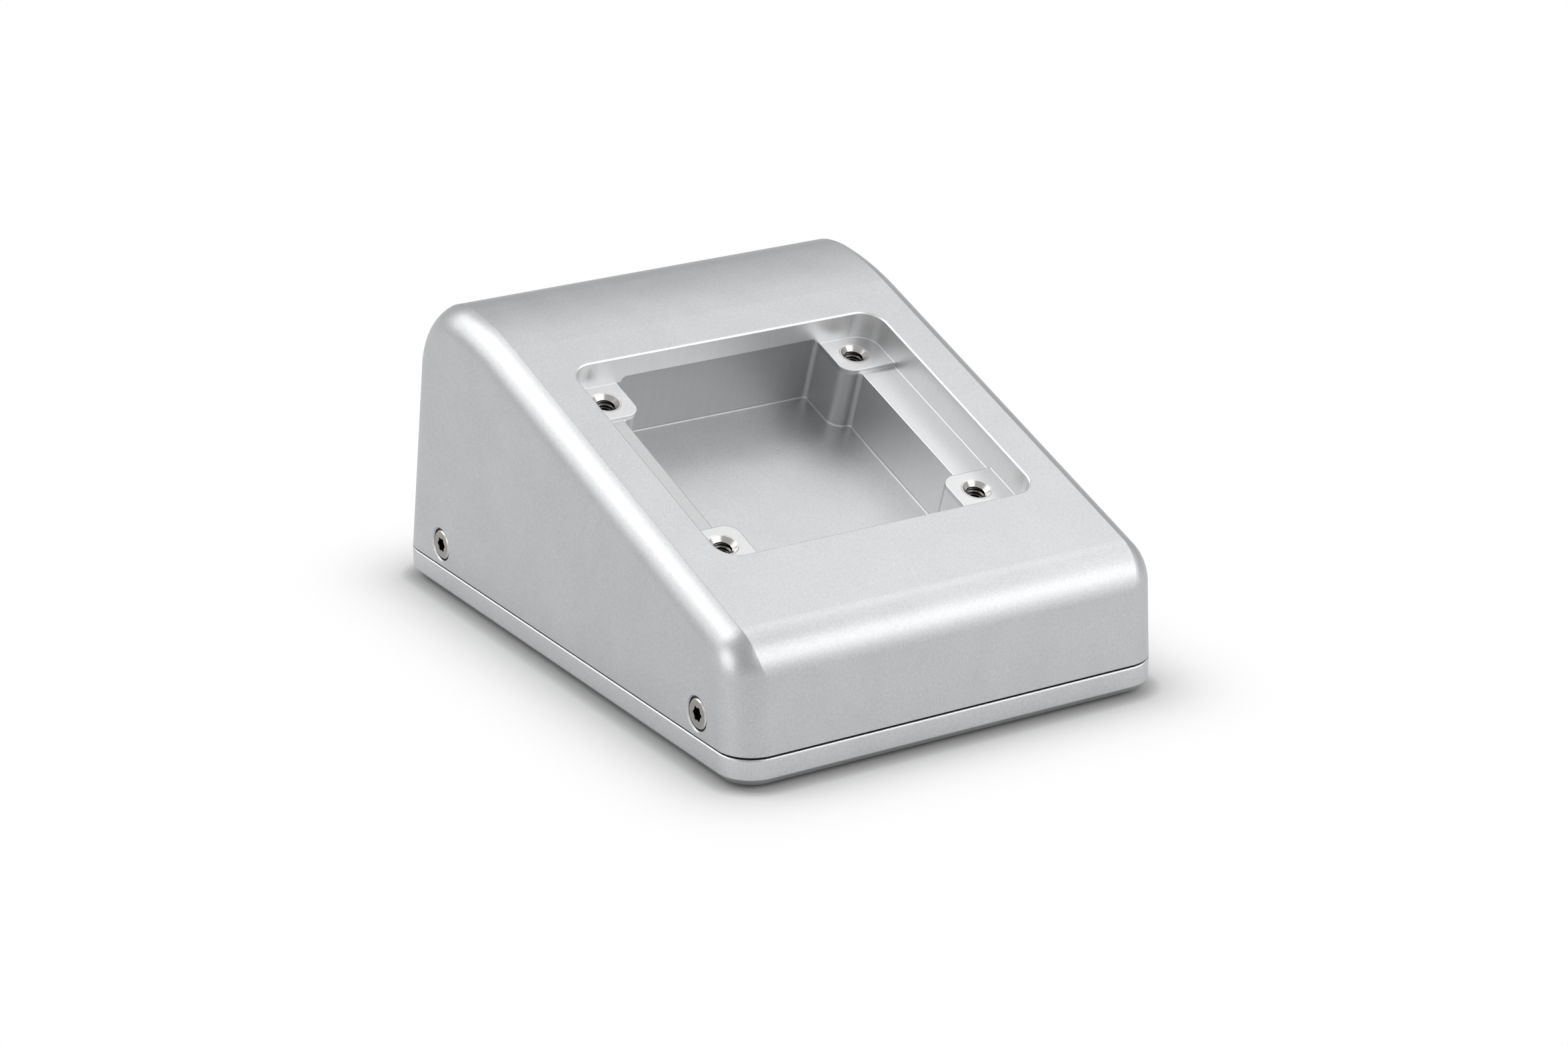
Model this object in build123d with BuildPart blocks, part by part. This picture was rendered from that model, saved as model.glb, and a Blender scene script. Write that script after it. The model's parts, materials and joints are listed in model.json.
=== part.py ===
"""Wedge-shaped aluminium instrument enclosure with a stepped recess in its sloping top.

Millimetres, +Z up. The origin is on the surface the enclosure stands on, under the middle of
its footprint. The low front faces -Y and the tall rear faces +Y.
"""
import os
from math import cos, radians, sin, tan

from build123d import *

os.makedirs("parts", exist_ok=True)

# Footprint and heights
width = 100.0
depth = 141.0
base_thickness = 6.1
foot_proud = 0.8
corner_round = 7.5
wall = 4.0

# Side outline of the housing
slope_angle = 19.1
slope_rise = 21.6
front_lean = 4.0
rear_lean = 9.5
crown_tilt = 5.5
crown_flat = 1.3
front_round = 10.0
crown_round = 70.0
rear_round = 18.5
crease_drop = 0.36

# Seam between the housing and the base plate
seam_gap = 0.25
seam_reach = 0.8
seam_chamfer = 0.3
base_chamfer = 1.6
spigot_height = 1.2
spigot_gap = 0.2

# Recess in the slope, measured along the slope and square to it
recess_width = 74.0
recess_front = 27.9
recess_crown_margin = 8.96
recess_corner = 5.0
rim_chamfer = 0.3
pad_depth = 6.4
ledge_depth = 7.3
pad_reach = 5.5
pad_nose = 3.0
pillar_flat = 0.15
pocket_depth = 21.1
pocket_fillet = 1.0
floor_fillet = 0.4
undercut = 0.9
undercut_roof = 5.1
undercut_corner = 1.2
tray_wall = 3.0

# Threaded inserts in the four pads
insert_pitch_across = 60.2
insert_front_margin = 10.6
insert_rear_margin = 5.4
insert_radius = 3.1
insert_length = 8.0
insert_gap = 0.03
thread_radius = 2.0
lead_in_radius = 2.9
drill_radius = 1.65
drill_run_out = 2.5

# Side screws, their seats in the side walls and the blocks that they screw into
screw_inset_front = 15.4
screw_inset_rear = 19.0
screw_rise = 4.9
screw_head_radius = 3.12
screw_head_height = 2.0
screw_head_edge = 0.25
screw_head_below = 0.12
screw_shank_radius = 1.97
screw_shank_length = 8.0
socket_radius = 1.6
socket_core_radius = 1.32
socket_lobe_radius = 0.42
socket_lobes = 6
socket_depth = 1.2
seat_radius = 3.5
seat_chamfer = 0.3
seat_hole_radius = 2.15
block_length = 14.0
block_width = 12.0
block_height = 8.0
block_gap = 0.2
block_edge = 0.6
block_thread_radius = 2.0
block_thread_depth = 8.0

# Countersunk screws that hold the blocks on the base plate
plate_screw_inset = 3.2
plate_screw_radius = 1.47
plate_screw_head_radius = 2.8
plate_screw_below = 0.2
plate_screw_grip = 6.0
plate_hole_radius = 1.65
plate_thread_radius = 1.5
plate_countersink_gap = 0.1
plate_countersink_angle = 90
plate_socket_radius = 1.0
plate_socket_sides = 6
plate_socket_depth = 1.0

# Rubber feet in seats under the base plate
foot_radius = 4.5
foot_seat_depth = 1.2
foot_seat_gap = 0.15
foot_inset_side = 8.0
foot_inset_end = 9.5
foot_edge = 0.4

# Planes and places worked out from the sizes above
front_y = -depth / 2
rear_y = depth / 2
base_bottom = foot_proud
seam_z = base_bottom + base_thickness
slope_z = seam_z + slope_rise
slope_sin = sin(radians(slope_angle))
slope_cos = cos(radians(slope_angle))
crown_reach = crown_round * tan(radians(slope_angle - crown_tilt) / 2)
top_plane = Plane(origin=(0, front_y, slope_z), x_dir=(1, 0, 0), z_dir=(0, -slope_sin, slope_cos))


def meet(point, along, other_point, other_along):
    """Where two lines in the side view cross, each given by a point and a direction."""
    turn = along.X * other_along.Y - along.Y * other_along.X
    reach = other_point - point
    return point + along * ((reach.X * other_along.Y - reach.Y * other_along.X) / turn)


def wedge_corners(front_in, top_in, rear_in):
    """Corners of the side outline, in Y and Z, with each side moved inwards by its own amount."""
    slope_along = Vector(slope_cos, slope_sin)
    crown_along = Vector(cos(radians(crown_tilt)), sin(radians(crown_tilt)))
    front_along = Vector(sin(radians(front_lean)), cos(radians(front_lean)))
    rear_along = Vector(-sin(radians(rear_lean)), cos(radians(rear_lean)))
    slope_inward = Vector(slope_sin, -slope_cos)
    crown_inward = Vector(crown_along.Y, -crown_along.X)
    front_inward = Vector(front_along.Y, -front_along.X)
    rear_inward = Vector(-rear_along.Y, rear_along.X)
    crown_run = crown_reach + crown_flat + rear_round * tan(radians(90 + crown_tilt - rear_lean) / 2)
    slope_start = Vector(front_y, slope_z)
    rear_foot = Vector(rear_y, seam_z)
    rear_corner = meet(slope_start + crown_along * crown_run, slope_along, rear_foot, rear_along)
    slope_point = slope_start + slope_inward * top_in
    crown_point = rear_corner + crown_inward * top_in
    front_point = Vector(front_y, seam_z) + front_inward * front_in
    rear_point = rear_foot + rear_inward * rear_in
    floor_point = Vector(0, seam_z)
    floor_along = Vector(1, 0)
    return [
        meet(front_point, front_along, floor_point, floor_along),
        meet(front_point, front_along, slope_point, slope_along),
        meet(slope_point, slope_along, crown_point, crown_along),
        meet(crown_point, crown_along, rear_point, rear_along),
        meet(rear_point, rear_along, floor_point, floor_along),
    ]


# Places in the slope, measured from the front and from where the crown begins
crown_begin = (wedge_corners(0, 0, 0)[2] - Vector(front_y, slope_z)).length - crown_reach
recess_rear = crown_begin - recess_crown_margin
recess_length = recess_rear - recess_front
recess_middle = recess_front + recess_length / 2
insert_rear = recess_rear - insert_rear_margin
insert_front = recess_front + insert_front_margin
insert_side = insert_pitch_across / 2
insert_places = [(x, s) for x in (-insert_side, insert_side) for s in (insert_front, insert_rear)]
screw_z = seam_z + screw_rise
screw_rows = {"front": front_y + screw_inset_front, "rear": rear_y - screw_inset_rear}
spigot_top = seam_z + spigot_height
block_outer = width / 2 - wall - block_gap
block_inner = block_outer - block_length
plate_screw_x = block_inner + plate_screw_inset
countersink_radius = plate_screw_head_radius + plate_screw_below + plate_countersink_gap
sides = {"left": -1, "right": 1}
pillar_side = insert_side - pad_reach
pocket_width = 2 * (pillar_side + pad_nose + pillar_flat + pocket_fillet)
pillar_front = insert_front + pad_reach
pillar_rear = insert_rear - pad_reach
pocket_front = recess_front - undercut
pocket_rear = recess_rear + undercut
column_reach = insert_radius + tray_wall
skin_plane = top_plane.offset(-wall / 2)
pad_plane = top_plane.offset(-pad_depth)
pocket_front_plane = Plane(
    origin=top_plane.from_local_coords((0, pocket_front, 0)), x_dir=(1, 0, 0),
    z_dir=-top_plane.y_dir,
)
underside = Plane(origin=(0, 0, base_bottom), x_dir=(-1, 0, 0), z_dir=(0, 0, -1))
plate_screw_places = [(side * plate_screw_x, row) for side in sides.values() for row in screw_rows.values()]
foot_x = width / 2 - foot_inset_side
foot_rows = {"front": front_y + foot_inset_end, "rear": rear_y - foot_inset_end}
foot_places = [(side * foot_x, row) for side in sides.values() for row in foot_rows.values()]
seat_depth = screw_head_height + screw_head_below
screw_places = [(row, 0) for row in screw_rows.values()]


def above_seam(edge):
    """Edges of a side wall, apart from the one that lies on the seam."""
    return edge.bounding_box().max.Z > seam_z + wall


def on_slope(face):
    """Faces that lie in the plane of the slope."""
    return abs(top_plane.to_local_coords(face.center()).Z) < insert_gap


def on_pocket_floor(face):
    """Faces that lie in the plane of the pocket's floor."""
    return abs(top_plane.to_local_coords(face.center()).Z + pocket_depth) < insert_gap


def is_seat_ring(edge):
    """Round edges as wide as the seats of the side screws."""
    return abs(edge.radius - seat_radius) < insert_gap


def is_thread_mouth(edge):
    """Round edges as wide as the thread, in the plane of the pads."""
    in_pads = abs(pad_plane.to_local_coords(edge.center()).Z) < insert_gap
    return in_pads and edge.geom_type == GeomType.CIRCLE and edge.radius < lead_in_radius


def is_head_ring(edge):
    """Round edges as wide as the heads of the side screws."""
    return abs(edge.radius - screw_head_radius) < insert_gap


def wedge_face(front_in, top_in, rear_in):
    """Closed side outline of the wedge, rounded at its front edge, crown and rear edge."""
    corners = wedge_corners(front_in, top_in, rear_in)
    rounds = (front_round - front_in, crown_round - top_in, rear_round - rear_in)
    with BuildSketch(Plane.YZ) as outline:
        with BuildLine():
            Polyline(*corners, close=True)
        make_face()
        for corner, radius in zip(corners[1:4], rounds):
            fillet(outline.vertices().sort_by_distance(corner)[0], radius)
    return outline.sketch


def pocket_outline():
    """The pocket in a level plane, with a pillar standing into each of its corners."""
    half_width = pocket_width / 2
    pillar_middle = (half_width + pillar_side) / 2
    with BuildSketch() as outline:
        with Locations((0, (pocket_front + pocket_rear) / 2)):
            Rectangle(pocket_width, pocket_rear - pocket_front)
        for side in sides.values():
            for end, row in ((pocket_front, pillar_front), (pocket_rear, pillar_rear)):
                with Locations((side * pillar_middle, (end + row) / 2)):
                    Rectangle(half_width - pillar_side, abs(row - end), mode=Mode.SUBTRACT)
        for side in sides.values():
            for end, row in ((pocket_front, pillar_front), (pocket_rear, pillar_rear)):
                fillet(outline.vertices().sort_by_distance((side * pillar_side, row))[0], pad_nose)
                fillet(outline.vertices().sort_by_distance((side * half_width, row))[0], pocket_fillet)
                fillet(outline.vertices().sort_by_distance((side * pillar_side, end))[0], pocket_fillet)
    return outline.sketch


def wedge_core(inset):
    """The wedge moved inwards by the same amount all round, with its upright edges rounded."""
    with BuildPart() as core:
        extrude(wedge_face(inset, inset, inset), amount=width / 2 - inset, both=True)
        rims = core.faces().filter_by(Axis.X).edges()
        fillet(rims.filter_by(above_seam), corner_round - inset)
    return core.part


def six_lobe_socket():
    """A star-shaped driver socket, a round core with six round lobes at its edge."""
    with BuildSketch() as socket:
        Circle(socket_core_radius)
        with PolarLocations(socket_radius - socket_lobe_radius, socket_lobes):
            Circle(socket_lobe_radius)
    return socket.sketch


def side_plane(side, inset):
    """A plane parallel to a side wall, at the height of the side screws, facing outwards."""
    return Plane(origin=(side * (width / 2 - inset), 0, screw_z), x_dir=(0, 1, 0), z_dir=(side, 0, 0))


# Housing: the wedge, its hollow, the tray and pocket box under the recess, and the screw seats
with BuildPart() as housing:
    # The rounded wedge, cut back on top so that a fine crease runs along both side rounds
    extrude(wedge_face(0, -crease_drop, 0), amount=width / 2, both=True)
    housing_rims = housing.faces().filter_by(Axis.X).edges()
    fillet(housing_rims.filter_by(above_seam), corner_round)
    extrude(wedge_face(0, 0, 0), amount=width, both=True, mode=Mode.INTERSECT)
    add(wedge_core(wall), mode=Mode.SUBTRACT)
    # The tray that carries the ledges
    with BuildSketch(skin_plane):
        with Locations((0, recess_middle)):
            RectangleRounded(
                recess_width + 2 * tray_wall, recess_length + 2 * tray_wall, recess_corner + tray_wall
            )
    extrude(amount=-(ledge_depth + tray_wall - wall / 2))
    # The box around the pocket, with a square column around each insert
    with BuildSketch(skin_plane):
        with Locations((0, recess_middle)):
            Rectangle(pocket_width + 2 * tray_wall, pocket_rear - pocket_front + 2 * tray_wall)
        with Locations(*insert_places):
            RectangleRounded(2 * column_reach, 2 * column_reach, insert_radius)
    extrude(amount=-(pocket_depth + tray_wall - wall / 2))
    # The recess down to the pads, and the ledges between the pads
    with BuildSketch(pad_plane):
        with Locations((0, recess_middle)):
            RectangleRounded(recess_width, recess_length, recess_corner)
    extrude(amount=pad_depth + wall, mode=Mode.SUBTRACT)
    with BuildSketch(pad_plane):
        with Locations((0, (pillar_front + pillar_rear) / 2)):
            Rectangle(recess_width, pillar_rear - pillar_front)
    extrude(amount=-(ledge_depth - pad_depth), mode=Mode.SUBTRACT)
    # The window under the rim at each end, then the pocket between its pillars
    with BuildSketch(pocket_front_plane) as window:
        with Locations((0, -(undercut_roof + ledge_depth) / 2)):
            Rectangle(2 * (pillar_side - pocket_fillet), ledge_depth - undercut_roof)
        fillet(window.vertices().group_by(Axis.Y)[-1], undercut_corner)
    extrude(amount=-(pocket_rear - pocket_front), mode=Mode.SUBTRACT)
    with BuildSketch(pad_plane):
        add(pocket_outline())
    extrude(amount=-(pocket_depth - pad_depth), mode=Mode.SUBTRACT)
    fillet(housing.faces().filter_by(GeomType.PLANE).filter_by(on_pocket_floor)[0].edges(), floor_fillet)
    # Bores for the inserts, with the drill's run-out below them
    with BuildSketch(pad_plane):
        with Locations(*insert_places):
            Circle(insert_radius + insert_gap)
    extrude(amount=-insert_length, mode=Mode.SUBTRACT)
    with BuildSketch(pad_plane):
        with Locations(*insert_places):
            Circle(drill_radius)
    extrude(amount=-(insert_length + drill_run_out), mode=Mode.SUBTRACT)
    # The bright chamfer round the mouth of the recess
    slope_face = housing.faces().filter_by(GeomType.PLANE).filter_by(on_slope)[0]
    chamfer(slope_face.inner_wires()[0].edges(), rim_chamfer)
    # Seats and holes for the side screws
    for side in sides.values():
        with BuildSketch(side_plane(side, 0)):
            with Locations(*screw_places):
                Circle(seat_radius)
        extrude(amount=-seat_depth, mode=Mode.SUBTRACT)
        with BuildSketch(side_plane(side, 0)):
            with Locations(*screw_places):
                Circle(seat_hole_radius)
        extrude(amount=-wall, mode=Mode.SUBTRACT)
    seat_rings = housing.edges().filter_by(GeomType.CIRCLE).filter_by(is_seat_ring).group_by(Axis.X)
    chamfer(seat_rings[0] + seat_rings[-1], seat_chamfer)

housing.part.label = "housing"
export_step(housing.part, "parts/housing.step")

# Spigot of the base plate, which follows the leaning walls inside the housing
with BuildPart() as spigot:
    add(wedge_core(wall + spigot_gap))
    split(bisect_by=Plane.XY.offset(spigot_top), keep=Keep.BOTTOM)

# Base plate, with a stepped upper border that makes the shadow line of the seam
with BuildPart() as base_plate:
    with BuildSketch(Plane.XY.offset(base_bottom)):
        RectangleRounded(width, depth, corner_round)
    extrude(amount=base_thickness - seam_gap)
    chamfer(base_plate.faces().sort_by(Axis.Z)[-1].edges(), seam_chamfer)
    chamfer(base_plate.faces().sort_by(Axis.Z)[0].edges(), base_chamfer)
    with BuildSketch(Plane.XY.offset(seam_z - seam_gap)):
        RectangleRounded(width - 2 * seam_reach, depth - 2 * seam_reach, corner_round - seam_reach)
    extrude(amount=seam_gap)
    add(spigot.part)
    # Countersunk holes for the block screws, and seats for the feet
    with Locations(*[underside.location * Location((x, y)) for x, y in plate_screw_places]):
        CounterSinkHole(plate_hole_radius, countersink_radius, counter_sink_angle=plate_countersink_angle)
    with BuildSketch(underside):
        with Locations(*foot_places):
            Circle(foot_radius + foot_seat_gap)
    extrude(amount=-foot_seat_depth, mode=Mode.SUBTRACT)

base_plate.part.label = "base_plate"
export_step(base_plate.part, "parts/base_plate.step")

# Threaded inserts, flush with the pads and wide at the mouth
with BuildPart() as threaded_inserts:
    with BuildSketch(pad_plane):
        with Locations(*insert_places):
            Circle(insert_radius)
    extrude(amount=-insert_length)
    with BuildSketch(pad_plane):
        with Locations(*insert_places):
            Circle(thread_radius)
    extrude(amount=-insert_length, mode=Mode.SUBTRACT)
    chamfer(threaded_inserts.edges().filter_by(is_thread_mouth), lead_in_radius - thread_radius)

threaded_inserts.part.label = "threaded_inserts"
export_step(threaded_inserts.part, "parts/threaded_inserts.step")

# Side screws, with low round heads sunk in the side walls
with BuildPart() as side_screws:
    for side in sides.values():
        with BuildSketch(side_plane(side, seat_depth)):
            with Locations(*screw_places):
                Circle(screw_head_radius)
        extrude(amount=screw_head_height)
        with BuildSketch(side_plane(side, seat_depth)):
            with Locations(*screw_places):
                Circle(screw_shank_radius)
        extrude(amount=-screw_shank_length)
    head_rings = side_screws.edges().filter_by(GeomType.CIRCLE).filter_by(is_head_ring).group_by(Axis.X)
    chamfer(head_rings[0] + head_rings[-1], screw_head_edge)
    for side in sides.values():
        with BuildSketch(side_plane(side, screw_head_below)):
            with Locations(*screw_places):
                add(six_lobe_socket())
        extrude(amount=-socket_depth, mode=Mode.SUBTRACT)

side_screws.part.label = "side_screws"
export_step(side_screws.part, "parts/side_screws.step")

# Countersunk screws that hold the blocks from below
with BuildPart() as block_screws:
    with BuildSketch(underside.offset(-plate_screw_below)):
        with Locations(*plate_screw_places):
            Circle(plate_screw_head_radius)
    extrude(amount=-(plate_screw_head_radius - plate_screw_radius), taper=plate_countersink_angle / 2)
    with BuildSketch(underside.offset(-plate_screw_below)):
        with Locations(*plate_screw_places):
            Circle(plate_screw_radius)
    extrude(amount=-(spigot_top + plate_screw_grip - base_bottom - plate_screw_below))
    with BuildSketch(underside.offset(-plate_screw_below)):
        with Locations(*plate_screw_places):
            RegularPolygon(plate_socket_radius, plate_socket_sides, major_radius=False)
    extrude(amount=-plate_socket_depth, mode=Mode.SUBTRACT)

block_screws.part.label = "block_screws"
export_step(block_screws.part, "parts/block_screws.step")

# Fixing blocks on the base plate, each tapped sideways for a side screw and from below
for side_name, side in sides.items():
    for row_name, row in screw_rows.items():
        with BuildPart() as fixing_block:
            with BuildSketch(Plane.XY.offset(spigot_top)):
                with Locations((side * (block_inner + block_outer) / 2, row)):
                    Rectangle(block_length, block_width)
            extrude(amount=block_height)
            chamfer(fixing_block.edges().filter_by(Axis.Z), block_edge)
            chamfer(fixing_block.faces().sort_by(Axis.Z)[-1].edges(), block_edge)
            with BuildSketch(Plane.XY.offset(spigot_top)):
                with Locations((side * plate_screw_x, row)):
                    Circle(plate_thread_radius)
            extrude(amount=block_height, mode=Mode.SUBTRACT)
            with BuildSketch(side_plane(side, width / 2 - block_outer)):
                with Locations((row, 0)):
                    Circle(block_thread_radius)
            extrude(amount=-block_thread_depth, mode=Mode.SUBTRACT)
        fixing_block.part.label = f"fixing_block_{row_name}_{side_name}"
        export_step(fixing_block.part, f"parts/{fixing_block.part.label}.step")

# Rubber feet, each a disc pressed into its seat
for side_name, side in sides.items():
    for row_name, row in foot_rows.items():
        with BuildPart() as foot:
            with BuildSketch(underside.offset(-foot_seat_depth)):
                with Locations((-side * foot_x, row)):
                    Circle(foot_radius)
            extrude(amount=foot_seat_depth + foot_proud)
            chamfer(foot.faces().sort_by(Axis.Z)[0].edges(), foot_edge)
        foot.part.label = f"foot_{row_name}_{side_name}"
        export_step(foot.part, f"parts/{foot.part.label}.step")
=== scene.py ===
import json
from math import cos, pi, radians, sin, tau

import bpy
import numpy as np
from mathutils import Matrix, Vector


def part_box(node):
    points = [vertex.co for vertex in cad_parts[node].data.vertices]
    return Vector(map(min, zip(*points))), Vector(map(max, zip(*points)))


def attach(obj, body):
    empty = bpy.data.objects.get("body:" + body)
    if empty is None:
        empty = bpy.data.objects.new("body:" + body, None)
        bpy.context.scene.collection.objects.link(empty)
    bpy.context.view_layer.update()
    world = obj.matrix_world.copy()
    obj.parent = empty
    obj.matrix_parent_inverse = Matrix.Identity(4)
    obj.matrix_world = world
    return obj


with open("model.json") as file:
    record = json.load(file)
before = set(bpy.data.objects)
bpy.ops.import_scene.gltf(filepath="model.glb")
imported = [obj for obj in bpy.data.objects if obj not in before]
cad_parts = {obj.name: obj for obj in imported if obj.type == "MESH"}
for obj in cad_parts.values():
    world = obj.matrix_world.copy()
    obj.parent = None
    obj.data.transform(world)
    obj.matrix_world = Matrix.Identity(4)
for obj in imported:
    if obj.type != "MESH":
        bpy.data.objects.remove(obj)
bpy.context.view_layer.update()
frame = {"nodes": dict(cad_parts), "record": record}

# Camera: a long lens above the front left corner, level across, as in the photograph.
# The lens is the photograph's focal length in its own pixels, turned into millimetres.
picture_width = 2352
focal_pixels = 6220.15
camera_dip = radians(20.704)
camera_turn = radians(-31.745)

camera_data = bpy.data.cameras.new("camera")
camera_data.sensor_width = 36.0
camera_data.lens = focal_pixels / picture_width * camera_data.sensor_width
camera_data.clip_start = 0.01
camera_data.clip_end = 50.0
camera = bpy.data.objects.new("camera", camera_data)
camera.location = (-0.42038, -0.68564, 0.32742)
camera.rotation_euler = (pi / 2 - camera_dip, 0.0, camera_turn)
bpy.context.scene.collection.objects.link(camera)
bpy.context.scene.camera = camera


# Floor: a wide sheet of matt white paper that runs back out of sight.
# Near the enclosure it is lit by the lamps and takes the shadow; further out it is plain white.
# Right at the base plate's outline the paper is painted darker, as a painted contact shadow.
floor_half = 6.0
plate_low, plate_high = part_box("base_plate")
plate_corner = 0.0075
plate_half_width = (plate_high[0] - plate_low[0]) / 2 - plate_corner
plate_half_length = (plate_high[1] - plate_low[1]) / 2 - plate_corner
shadow_start = 0.0015
shadow_end = 0.034
shadow_curve = 3.0
# Painted contact shadow: how far out and how dark the paper is painted around the plate
painted_contact_shadow_reach = 0.003
painted_contact_shadow = 0.48
paper_shade = 0.70
mirrored_white = 0.90
shown_white = 1.0


class Paint:
    """A material's nodes, put in and joined by short calls."""

    def __init__(self, name):
        self.material = bpy.data.materials.new(name)
        self.material.use_nodes = True
        self.tree = self.material.node_tree
        self.tree.nodes.clear()
        self.output = self.tree.nodes.new("ShaderNodeOutputMaterial")

    def add(self, kind, settings=None, **inputs):
        """A new node. Settings are its menus, and each input is a number, a colour or a socket."""
        node = self.tree.nodes.new("ShaderNode" + kind)
        for setting, choice in (settings or {}).items():
            setattr(node, setting, choice)
        for name, value in inputs.items():
            key = int(name[1:]) if name[1:].isdigit() else name.replace("_", " ")
            socket = node.inputs[key]
            if isinstance(value, bpy.types.NodeSocket):
                self.tree.links.new(value, socket)
            else:
                socket.default_value = value
        return node.outputs

    def math(self, operation, first, second=0.0):
        """One sum, product or comparison of two values."""
        return self.add("Math", {"operation": operation}, i0=first, i1=second)[0]

    def vector(self, operation, first, second=(0, 0, 0)):
        """One sum, product or comparison of two vectors. A length or a dot product is its Value."""
        return self.add("VectorMath", {"operation": operation}, i0=first, i1=second)

    def finish(self, surface):
        """Joins the surface to the output and gives the material back."""
        self.tree.links.new(surface, self.output.inputs["Surface"])
        return self.material


def spread(paint, value, low, high, start=0.0, end=1.0):
    """Goes evenly from low, where the value is start, to high, where it is end."""
    ramp = paint.add("MapRange", Value=value, From_Min=start, From_Max=end, To_Min=low, To_Max=high)
    return ramp["Result"]


def white_paper():
    """Matt paper with a painted contact shadow at the base plate's outline, turning plain white with
    distance from it.
    """
    paint = Paint("white_paper")
    place = paint.vector("ABSOLUTE", paint.add("TexCoord")["Object"])[0]
    beyond = paint.vector("SUBTRACT", place, (plate_half_width, plate_half_length, 0))[0]
    distance = paint.vector("LENGTH", paint.vector("MAXIMUM", beyond)[0])["Value"]
    left = spread(paint, distance, 1.0, 0.0, plate_corner + shadow_start, plate_corner + shadow_end)
    fade = paint.math("SUBTRACT", 1.0, paint.math("POWER", left, shadow_curve))
    # Painted contact shadow: the paper's shade is darkened right at the plate's outline
    shade = spread(paint, distance, painted_contact_shadow, paper_shade, plate_corner, plate_corner + painted_contact_shadow_reach)
    matt = paint.add("BsdfDiffuse", Color=shade)["BSDF"]
    ray = paint.add("LightPath")
    white = spread(paint, ray["Is Camera Ray"], mirrored_white, shown_white)
    shown = paint.add("Emission", Strength=white)["Emission"]
    seen = paint.math("MAXIMUM", ray["Is Camera Ray"], ray["Is Glossy Ray"])
    seen = paint.math("MAXIMUM", seen, ray["Is Transmission Ray"])
    share = paint.math("MULTIPLY", seen, fade)
    return paint.finish(paint.add("MixShader", i0=share, i1=matt, i2=shown)["Shader"])


floor_mesh = bpy.data.meshes.new("floor")
floor_mesh.from_pydata(
    [(-floor_half, -floor_half, 0), (floor_half, -floor_half, 0),
     (floor_half, floor_half, 0), (-floor_half, floor_half, 0)], [], [(0, 1, 2, 3)]
)
floor_mesh.materials.append(white_paper())
floor = bpy.data.objects.new("floor", floor_mesh)
bpy.context.scene.collection.objects.link(floor)


# Lamps: round soft boxes that all stand at the same distance and face the enclosure.
# The strongest is low on the left, seven more stand round the front, the right and the rear,
# and a pale room fills the rest.
lamp_distance = 1.4
lamp_across = 1.0
lamp_aim = Vector((0, 0, 0.03))
room_strength = 0.56


def soft_box(name, turn, rise, power):
    """A round lamp, turned from the front towards the right and raised, both in degrees."""
    lamp_data = bpy.data.lights.new(name, "AREA")
    lamp_data.shape = "DISK"
    lamp_data.size = lamp_across
    lamp_data.energy = power
    lamp = bpy.data.objects.new(name, lamp_data)
    level = cos(radians(rise))
    away = Vector((sin(radians(turn)) * level, -cos(radians(turn)) * level, sin(radians(rise))))
    lamp.location = lamp_aim + away * lamp_distance
    lamp.rotation_euler = away.to_track_quat("Z", "Y").to_euler()
    bpy.context.scene.collection.objects.link(lamp)


soft_box("lamp_front", 20, 33, 3.2)
soft_box("lamp_front_right", 60, 33, 2.6)
soft_box("lamp_front_right_low", 45, 10, 2.6)
soft_box("lamp_right", 90, 56, 2.3)
soft_box("lamp_rear_right", 135, 56, 1.6)
soft_box("lamp_rear_left", 220, 33, 3.3)
soft_box("lamp_rear_left_high", 225, 56, 4.2)
soft_box("lamp_left_low", 270, 10, 4.4)

world = bpy.data.worlds.new("studio")
world.use_nodes = True
room = world.node_tree.nodes["Background"]
room.inputs["Color"].default_value = (1, 1, 1, 1)
room.inputs["Strength"].default_value = room_strength
bpy.context.scene.world = world
bpy.context.scene.view_settings.view_transform = "Standard"


# Housing: one block of aluminium, milled, bead-blasted to a fine even grain and clear anodised.
# The walls, pads and ledges of the recess are left as milled, and its rim has a bright cut bevel.
# Light and shade are painted on the recess's walls, left ledge and edges, and shadow in the seam at the
# foot.
slope_along = (0, 0.94495, 0.32722)
slope_out = (0, -0.32722, 0.94495)
slope_foot = (0, -0.0705, 0.0285)
rightwards = (1, 0, 0)

# The recess, in metres across the slope, along it from its foot and below it
recess_half_width = 0.0374
recess_front = 0.0265
recess_rear = 0.0933
undercut_rear = 0.0935
undercut_end = 0.0940
rim_top = 0.000031
rim_depth = 0.00031
pad_bottom = 0.0067
ledge_depth = 0.0075
level_limit = 0.95

# The heights between which the seam is painted dark, as painted shadow in the gap
seam_top = 0.00712
seam_bottom = 0.00664

# Sizes and depths of the finishes' patterns
noise_detail = 4.0
grain_size = 0.00038
grain_depth = 0.00004
cloud_size = 0.009
streak_size = 0.0009
streak_squeeze = 0.02
streak_depth_share = 0.4
relief_strength = 0.3
edge_radius = 0.0003
edge_start = 0.99
edge_end = 0.80

# Shades run from 0 for black to 1 for white, and walls that look along the slope come first
housing_dark = 0.43
housing_light = 0.63
cloud_dark = -0.02
cloud_light = 0.05
# Painted light and shade on the recess walls, by depth and facing: the upper rear wall painted light, the
# pocket's rear wall painted dark
upper_wall_painted_lighting = (0.90, 0.62)
lower_wall_painted_lighting = (0.50, 0.73)
pad_shade = 0.60
# Painted shade on the ledge left of the middle
left_ledge_painted_shade = 0.49
streak_dark = 0.95
streak_light = 1.05
# Painted highlight on the recess's convex and concave edges
painted_edge_glint_shade = 0.85
rim_shade = 0.82
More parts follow.
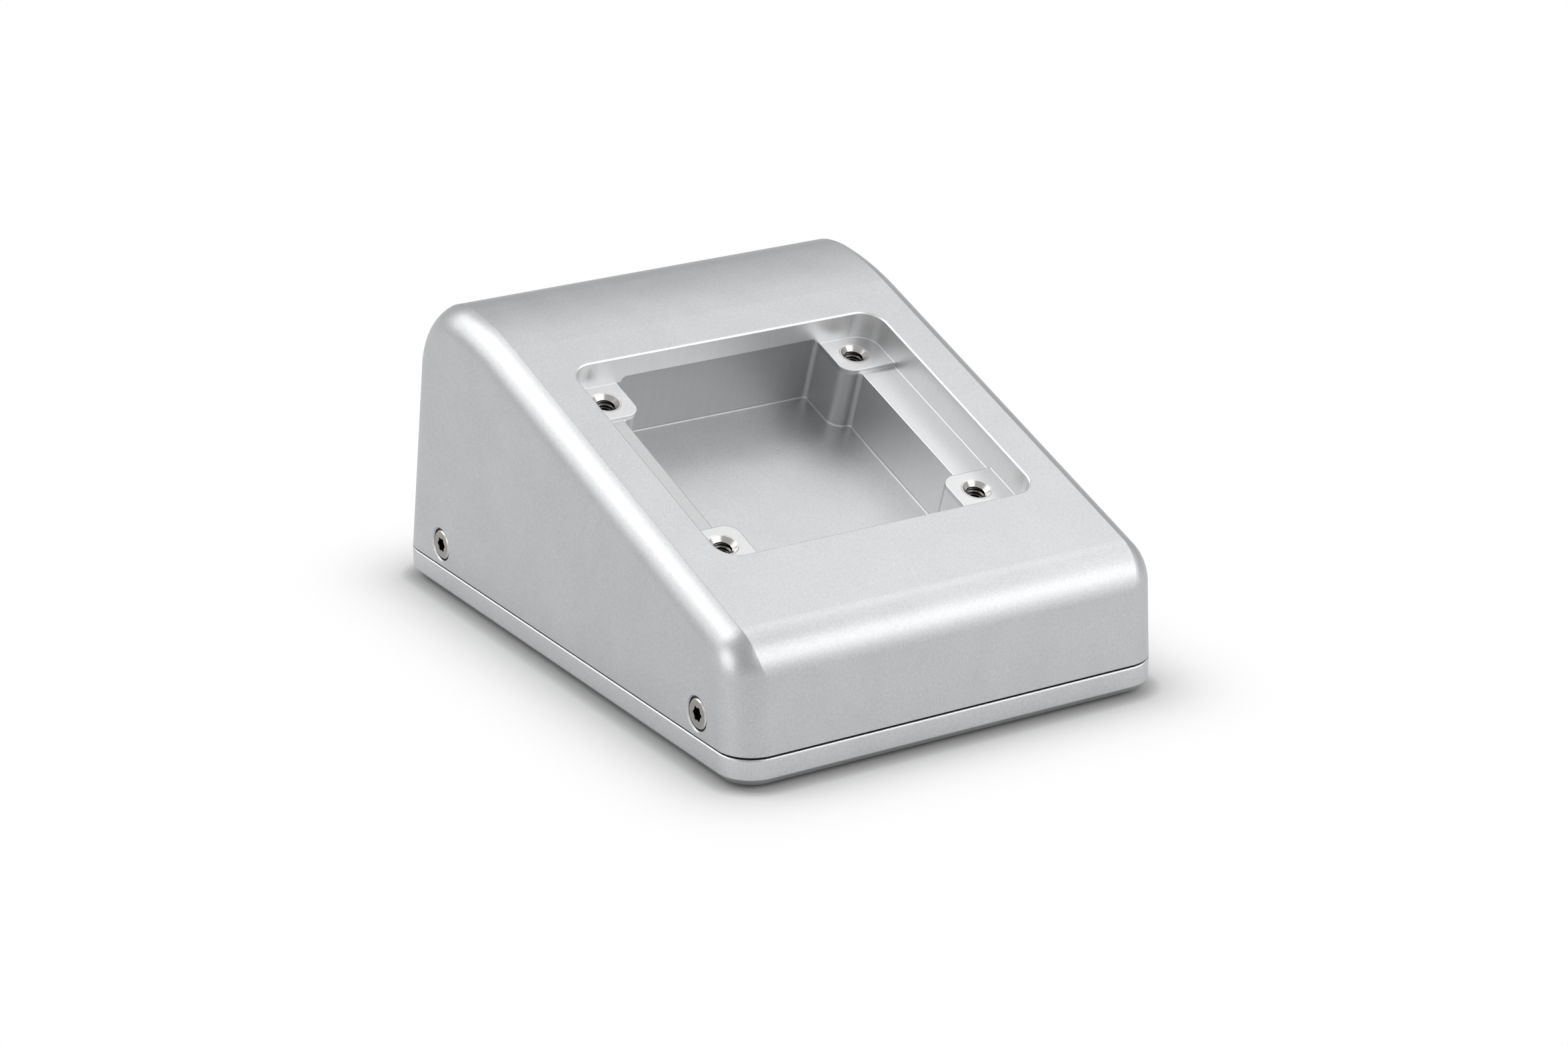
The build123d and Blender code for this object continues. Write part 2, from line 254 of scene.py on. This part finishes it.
# Painted shadow in the seam's gap
seam_painted_shadow = 0.02
blasted_smoothest = 0.37
blasted_roughest = 0.41
wall_roughness = 0.42
pad_roughness = 0.30
streak_roughness = 0.05
blasted_tint = 0.016
milled_tint = 0.006


def wear(node, material):
    """Puts a material on every slot of a node of the frame."""
    for slot in frame["nodes"][node].material_slots:
        slot.material = material


def noise(paint, vector, size, detail=2.0):
    """A smooth random pattern between 0 and 1, with features of about the given size in metres."""
    return paint.add("TexNoise", Vector=vector, Scale=1 / size, Detail=detail)["Fac"]


def blend(paint, share, first, second):
    """The first value where the share is 0, and the second where it is 1."""
    return paint.add("Mix", {"data_type": "FLOAT"}, i0=share, i2=first, i3=second)[0]


def all_of(paint, share, *others):
    """A share that is 1 only where each of the given shares is 1."""
    for other in others:
        share = paint.math("MULTIPLY", share, other)
    return share


def reach(paint, vector, along):
    """How far a vector reaches along a direction."""
    return paint.vector("DOT_PRODUCT", vector, along)["Value"]


def below_slope(paint, place):
    """The place as seen from the foot of the slope, and its depth below the slope."""
    from_foot = paint.vector("SUBTRACT", place, slope_foot)[0]
    return from_foot, paint.math("MULTIPLY", reach(paint, from_foot, slope_out), -1.0)


def eased_edges(paint, radius):
    """The surface's direction with its sharp edges eased to the given radius."""
    return paint.add("Bevel", {"samples": 8}, Radius=radius)[0]


def satin_metal(paint, shade, roughness, height, step, eased, tint=blasted_tint):
    """Anodised aluminium, a trace bluer than grey by the tint, with a fine relief."""
    trace = paint.math("MULTIPLY", shade, tint)
    color = paint.add("CombineColor", Red=paint.math("SUBTRACT", shade, trace), Green=shade,
                      Blue=paint.math("ADD", shade, trace))[0]
    relief = paint.add("Bump", Strength=relief_strength, Distance=step, Height=height, Normal=eased)[0]
    metal = paint.add("BsdfPrincipled", Base_Color=color, Metallic=1.0, Roughness=roughness, Normal=relief)
    return metal["BSDF"]


def blasted_skin(paint, place, dark, light):
    """The shade, roughness and relief of blasted metal: a fine grain with faint clouds in it."""
    grain = noise(paint, place, grain_size, noise_detail)
    clouds = noise(paint, place, cloud_size, noise_detail)
    cloud_share = spread(paint, clouds, cloud_dark, cloud_light)
    shade = paint.math("ADD", spread(paint, grain, dark, light), cloud_share)
    return shade, spread(paint, clouds, blasted_smoothest, blasted_roughest), grain


def housing_aluminium():
    """Blasted grain outside and on the pocket's floor, smooth milled metal on the recess's walls, with
    painted light and shade on the walls and left ledge, a painted highlight on the edges and painted
    shadow in the seam.
    """
    paint = Paint("housing_aluminium")
    place = paint.add("TexCoord")["Object"]
    blasted, blasted_roughness, grain = blasted_skin(paint, place, housing_dark, housing_light)
    eased = eased_edges(paint, edge_radius)
    facing = paint.add("NewGeometry")["True Normal"]
    painted_edge_glint = spread(paint, reach(paint, eased, facing), 0.0, 1.0, edge_start, edge_end)

    # Each zone is a share that is 1 inside it
    from_foot, deep = below_slope(paint, place)
    rightward = reach(paint, from_foot, rightwards)
    across = paint.math("ABSOLUTE", rightward)
    along = reach(paint, from_foot, slope_along)
    in_recess = all_of(
        paint,
        paint.math("LESS_THAN", across, recess_half_width),
        paint.math("GREATER_THAN", along, recess_front),
        paint.math("LESS_THAN", along, undercut_end),
        paint.math("GREATER_THAN", deep, rim_top),
    )
    in_rim = all_of(
        paint,
        in_recess,
        paint.math("LESS_THAN", deep, rim_depth),
        paint.math("LESS_THAN", along, recess_rear),
    )
    in_pocket = paint.math("GREATER_THAN", deep, ledge_depth)
    in_pocket = paint.math("MAXIMUM", in_pocket, paint.math("GREATER_THAN", along, undercut_rear))
    # Painted shade: level faces left of the middle and below the pads are painted darker
    painted_shade_on_left_ledge = all_of(
        paint,
        paint.math("GREATER_THAN", deep, pad_bottom),
        paint.math("LESS_THAN", rightward, 0.0),
    )
    level = paint.math("GREATER_THAN", reach(paint, facing, slope_out), level_limit)
    sideways = paint.math("ABSOLUTE", reach(paint, facing, rightwards))
    pocket_floor = all_of(paint, in_pocket, level)
    milled = all_of(paint, in_recess, paint.math("SUBTRACT", 1.0, pocket_floor))
    in_painted_seam_shadow = paint.math("LESS_THAN", paint.add("SeparateXYZ", Vector=place)["Z"], seam_top)

    # Milled walls have faint upright streaks, left by the side of the cutter
    squeezed = paint.math("MULTIPLY", deep, streak_squeeze)
    streaks = noise(paint, paint.add("CombineXYZ", X=across, Y=along, Z=squeezed)[0], streak_size)
    # Painted light and shade: walls lighter or darker by depth and by the way they face, and the left
    # ledge painted darker
    painted_upper_wall = blend(paint, sideways, *upper_wall_painted_lighting)
    painted_lower_wall = blend(paint, sideways, *lower_wall_painted_lighting)
    wall_with_painted_light = blend(paint, in_pocket, painted_upper_wall, painted_lower_wall)
    wall_with_painted_light = blend(paint, level, wall_with_painted_light, blend(paint, painted_shade_on_left_ledge, pad_shade, left_ledge_painted_shade))
    wall_with_painted_light = paint.math("MULTIPLY", wall_with_painted_light, spread(paint, streaks, streak_dark, streak_light))

    shade = blend(paint, milled, blasted, wall_with_painted_light)
    # Painted highlight along the edges in the recess, found from the eased edges
    shade = blend(paint, all_of(paint, painted_edge_glint, in_recess), shade, painted_edge_glint_shade)
    shade = blend(paint, in_rim, shade, rim_shade)
    # Painted shadow: the housing's foot is painted near black along the seam
    shade = blend(paint, in_painted_seam_shadow, shade, seam_painted_shadow)
    milled_roughness = blend(paint, level, wall_roughness, pad_roughness)
    streaked = paint.math("MULTIPLY", streaks, streak_roughness)
    milled_roughness = paint.math("ADD", milled_roughness, streaked)
    roughness = blend(paint, milled, blasted_roughness, milled_roughness)
    height = blend(paint, milled, grain, paint.math("MULTIPLY", streaks, streak_depth_share))
    tint = blend(paint, milled, blasted_tint, milled_tint)
    return paint.finish(satin_metal(paint, shade, roughness, height, grain_depth, eased, tint))


wear("housing", housing_aluminium())


# Base plate: rolled aluminium plate, milled to the housing's outline, blasted and anodised like it.
# Its bevelled upper border stops a quarter of a millimetre short and leaves a real gap, whose shadow is
# painted near black on both sides of the seam.
bevel_foot = 0.00635
upper_bevel = 0.00642
plate_dark = 0.50
plate_light = 0.71
# Painted shade on the bevel's foot and a painted highlight on its upper part
lower_bevel_painted_shade = 0.40
upper_bevel_painted_highlight = 0.95


def plate_aluminium():
    """The housing's blasted finish, a bevel painted as a bright highlight over a painted shaded foot, and
    painted shadow, black, in the narrow seam.
    """
    paint = Paint("plate_aluminium")
    place = paint.add("TexCoord")["Object"]
    shade, roughness, grain = blasted_skin(paint, place, plate_dark, plate_light)
    height = paint.add("SeparateXYZ", Vector=place)["Z"]
    # Painted shade on the bevel's foot, then a painted highlight above it
    shade = blend(paint, paint.math("GREATER_THAN", height, bevel_foot), shade, lower_bevel_painted_shade)
    shade = blend(paint, paint.math("GREATER_THAN", height, upper_bevel), shade, upper_bevel_painted_highlight)
    # Painted shadow: the plate's ledge inside the seam's gap is painted near black
    shade = blend(paint, paint.math("GREATER_THAN", height, seam_bottom), shade, seam_painted_shadow)
    eased = eased_edges(paint, edge_radius)
    return paint.finish(satin_metal(paint, shade, roughness, grain, grain_depth, eased))


wear("base_plate", plate_aluminium())


# Threaded inserts: turned stainless steel bushes pressed into the pads, with a wide bright mouth.
# Each thread is a ridge along a helix in the bore, from the foot of the mouth to the bore's end.
# The bores and the thread ridges are painted near black, as painted shade down in the holes
bore_start = 0.0073
insert_ring_size = 0.00012
mouth_shade = 0.62
mouth_ring_step = 0.08
bore_painted_shade = 0.02
bore_ring_share = 0.3
thread_painted_shade = 0.16
insert_roughness = 0.24
steel_green = 0.97
steel_blue = 0.93
thread_pitch = 0.0007
thread_root = 0.00203
thread_crest = 0.00166
thread_root_half = 0.0003
thread_crest_half = 0.00006
thread_steps_per_turn = 48
thread_first_turn = 0.4
thread_run_in = 0.6
thread_end_rise = 0.02


def warm_steel(paint, red, roughness):
    """Turned steel, a little warmer than the aluminium."""
    color = paint.add("CombineColor", Red=red, Green=paint.math("MULTIPLY", red, steel_green),
                      Blue=paint.math("MULTIPLY", red, steel_blue))[0]
    return paint.add("BsdfPrincipled", Base_Color=color, Metallic=1.0, Roughness=roughness)["BSDF"]


def insert_steel(name, mouth, bore):
    """Steel with fine turned rings, bright in the mouth and painted dark in the bore as painted shade."""
    paint = Paint(name)
    deep = below_slope(paint, paint.add("TexCoord")["Object"])[1]
    rings = noise(paint, paint.add("CombineXYZ", X=deep)[0], insert_ring_size)
    # Painted shade: the bore below the mouth is painted dark
    in_bore = paint.math("GREATER_THAN", deep, bore_start)
    low = blend(paint, in_bore, mouth - mouth_ring_step, bore * (1 - bore_ring_share))
    high = blend(paint, in_bore, mouth + mouth_ring_step, bore * (1 + bore_ring_share))
    return paint.finish(warm_steel(paint, blend(paint, rings, low, high), insert_roughness))


def mesh_piece(name, points, faces, material):
    """A new piece from rows of points and faces, in its place on the enclosure."""
    mesh = bpy.data.meshes.new(name)
    mesh.from_pydata(points.tolist(), [], faces)
    mesh.materials.append(material)
    piece = bpy.data.objects.new(name, mesh)
    bpy.context.scene.collection.objects.link(piece)
    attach(piece, "root")


def grid_faces(rows, columns):
    """Squares between neighbouring rows, closed round the columns, and a cap on each end."""
    row, column = np.meshgrid(np.arange(rows - 1), np.arange(columns), indexing="ij")
    near = row * columns + column
    after = row * columns + (column + 1) % columns
    squares = np.stack([near, after, after + columns, near + columns], -1).reshape(-1, 4).tolist()
    last = (rows - 1) * columns
    return squares + [list(range(columns))[::-1], list(range(last, last + columns))]


def thread_ridge(mount):
    """A low trapezium that climbs by one pitch a turn round a threaded hole and runs out at its ends."""
    bore_length = mount["dims"]["length_mm"] / 1000
    turns = bore_length / thread_pitch - 1
    turn = np.linspace(0, turns, int(turns * thread_steps_per_turn))[:, None]
    rise = np.clip(np.minimum(turn, turns - turn) / thread_run_in, thread_end_rise, 1)
    root = np.full_like(turn, thread_root)
    crest = thread_root - (thread_root - thread_crest) * rise
    radius = np.hstack([root, crest, crest, root])
    half = np.array([-thread_root_half, -thread_crest_half, thread_crest_half, thread_root_half])
    depth = (turn + thread_first_turn) * thread_pitch + half * rise
    angle = (turn * tau)[..., None]
    up = np.array(mount["axis"])
    side_on = np.array([1.0, 0.0, 0.0])
    ahead = np.cross(up, side_on)
    foot_of_mouth = np.array(mount["pos_m"]) + up * bore_length / 2
    points = foot_of_mouth - depth[..., None] * up
    points = points + radius[..., None] * (np.cos(angle) * side_on + np.sin(angle) * ahead)
    return points.reshape(-1, 3), grid_faces(len(turn), len(half))


wear("threaded_inserts", insert_steel("insert_steel", mouth_shade, bore_painted_shade))
# The threads wear a darker copy of the insert steel, as painted shade
thread_steel_in_painted_shade = insert_steel("thread_steel_in_painted_shade", thread_painted_shade, thread_painted_shade)
for mount in frame["record"]["mounts"]:
    if mount["kind"] == "threaded_hole":
        ridge_points, ridge_faces = thread_ridge(mount)
        mesh_piece(mount["name"], ridge_points, ridge_faces, thread_steel_in_painted_shade)


# Side screws: stainless machine screws with low turned heads and six-lobe sockets.
# The faces have turned rings and a border painted lighter as a painted highlight on the edge, and the
# sockets are painted black inside as painted shade.
screw_low, screw_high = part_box("side_screws")
screw_head_radius = 0.00312
screw_turned_edge = 0.00030
screw_row_middle = (screw_low[1] + screw_high[1]) / 2
screw_row_half = (screw_high[1] - screw_low[1]) / 2 - screw_head_radius
screw_height = (screw_low[2] + screw_high[2]) / 2
screw_face = screw_high[0]
screw_ring_size = 0.00018
screw_dark = 0.26
screw_light = 0.40
# Painted highlight on the head's edge, and painted shade in the socket
screw_border_painted_highlight = 0.62
screw_roughness = 0.28
socket_depth = 0.0003
socket_radius = screw_head_radius * 0.6
socket_painted_shade = 0.01


def screw_steel():
    """Turned rings round each screw's axis, a painted highlight on the border, and painted shade, black,
    down in the sockets.
    """
    paint = Paint("screw_steel")
    place = paint.add("SeparateXYZ", Vector=paint.add("TexCoord")["Object"])
    from_row = paint.math("ABSOLUTE", paint.math("SUBTRACT", place["Y"], screw_row_middle))
    ring_place = paint.add("CombineXYZ", X=paint.math("SUBTRACT", from_row, screw_row_half),
                           Y=paint.math("SUBTRACT", place["Z"], screw_height))[0]
    radius = paint.vector("LENGTH", ring_place)["Value"]
    rings = noise(paint, paint.add("CombineXYZ", X=radius)[0], screw_ring_size)
    red = blend(paint, rings, screw_dark, screw_light)
    # Painted highlight: the outer border of each head is painted lighter
    painted_highlight_border = paint.math("GREATER_THAN", radius, screw_head_radius - screw_turned_edge)
    red = blend(paint, painted_highlight_border, red, screw_border_painted_highlight)
    below_face = paint.math("SUBTRACT", screw_face, paint.math("ABSOLUTE", place["X"]))
    in_socket = all_of(
        paint,
        paint.math("GREATER_THAN", below_face, socket_depth),
        paint.math("LESS_THAN", radius, socket_radius),
    )
    # Painted shade: the socket is painted black
    red = blend(paint, in_socket, red, socket_painted_shade)
    return paint.finish(warm_steel(paint, red, screw_roughness))


wear("side_screws", screw_steel())


# Fixing blocks: short lengths of aluminium bar, sawn and milled, left bare.
# Each stands on the base plate, held from below, and takes one side screw.
bar_streak_size = 0.0003
bar_streak_squeeze = 0.05
bar_dark = 0.5
bar_light = 0.62
bar_roughness = 0.35
bar_streak_depth = 0.00003
bar_edge_radius = 0.0002


def milled_aluminium():
    """Bare aluminium with the streaks of the milling cutter."""
    paint = Paint("milled_aluminium")
    place = paint.add("SeparateXYZ", Vector=paint.add("TexCoord")["Object"])
    squeezed = paint.math("MULTIPLY", place["Y"], bar_streak_squeeze)
    streak_place = paint.add("CombineXYZ", X=place["X"], Y=squeezed, Z=place["Z"])[0]
    streaks = noise(paint, streak_place, bar_streak_size)
    shade = spread(paint, streaks, bar_dark, bar_light)
    eased = eased_edges(paint, bar_edge_radius)
    return paint.finish(satin_metal(paint, shade, bar_roughness, streaks, bar_streak_depth, eased))


bar = milled_aluminium()
rows = ("front", "rear")
sides = ("left", "right")
for row in rows:
    for side in sides:
        wear(f"fixing_block_{row}_{side}", bar)


# Block screws: countersunk zinc-plated steel screws, sunk in the underside of the plate.
# They can be seen only from below.
mottle_size = 0.0005
zinc_dark = 0.42
zinc_light = 0.55
zinc_roughness = 0.3
mottle_depth = 0.00002
block_screw_edge_radius = 0.0001


def plated_steel():
    """Zinc-plated steel, slightly bluish and mottled."""
    paint = Paint("plated_steel")
    mottle = noise(paint, paint.add("TexCoord")["Object"], mottle_size)
    shade = spread(paint, mottle, zinc_dark, zinc_light)
    eased = eased_edges(paint, block_screw_edge_radius)
    return paint.finish(satin_metal(paint, shade, zinc_roughness, mottle, mottle_depth, eased))


wear("block_screws", plated_steel())


# Feet: black rubber discs, pressed into seats in the plate.
# They hold the plate off the table and leave the thin dark gap under it.
rubber_skin_size = 0.0006
rubber_dark = 0.015
rubber_light = 0.03
rubber_skin_depth = 0.0001
rubber_roughness = 0.75


def black_rubber():
    """Matt black rubber with a faint mottled skin."""
    paint = Paint("black_rubber")
    skin = noise(paint, paint.add("TexCoord")["Object"], rubber_skin_size)
    shade = spread(paint, skin, rubber_dark, rubber_light)
    color = paint.add("CombineColor", Red=shade, Green=shade, Blue=shade)[0]
    relief = paint.add("Bump", Strength=relief_strength, Distance=rubber_skin_depth, Height=skin)[0]
    rubbery = paint.add("BsdfPrincipled", Base_Color=color, Roughness=rubber_roughness, Normal=relief)
    return paint.finish(rubbery["BSDF"])


rubber = black_rubber()
for row in rows:
    for side in sides:
        wear(f"foot_{row}_{side}", rubber)
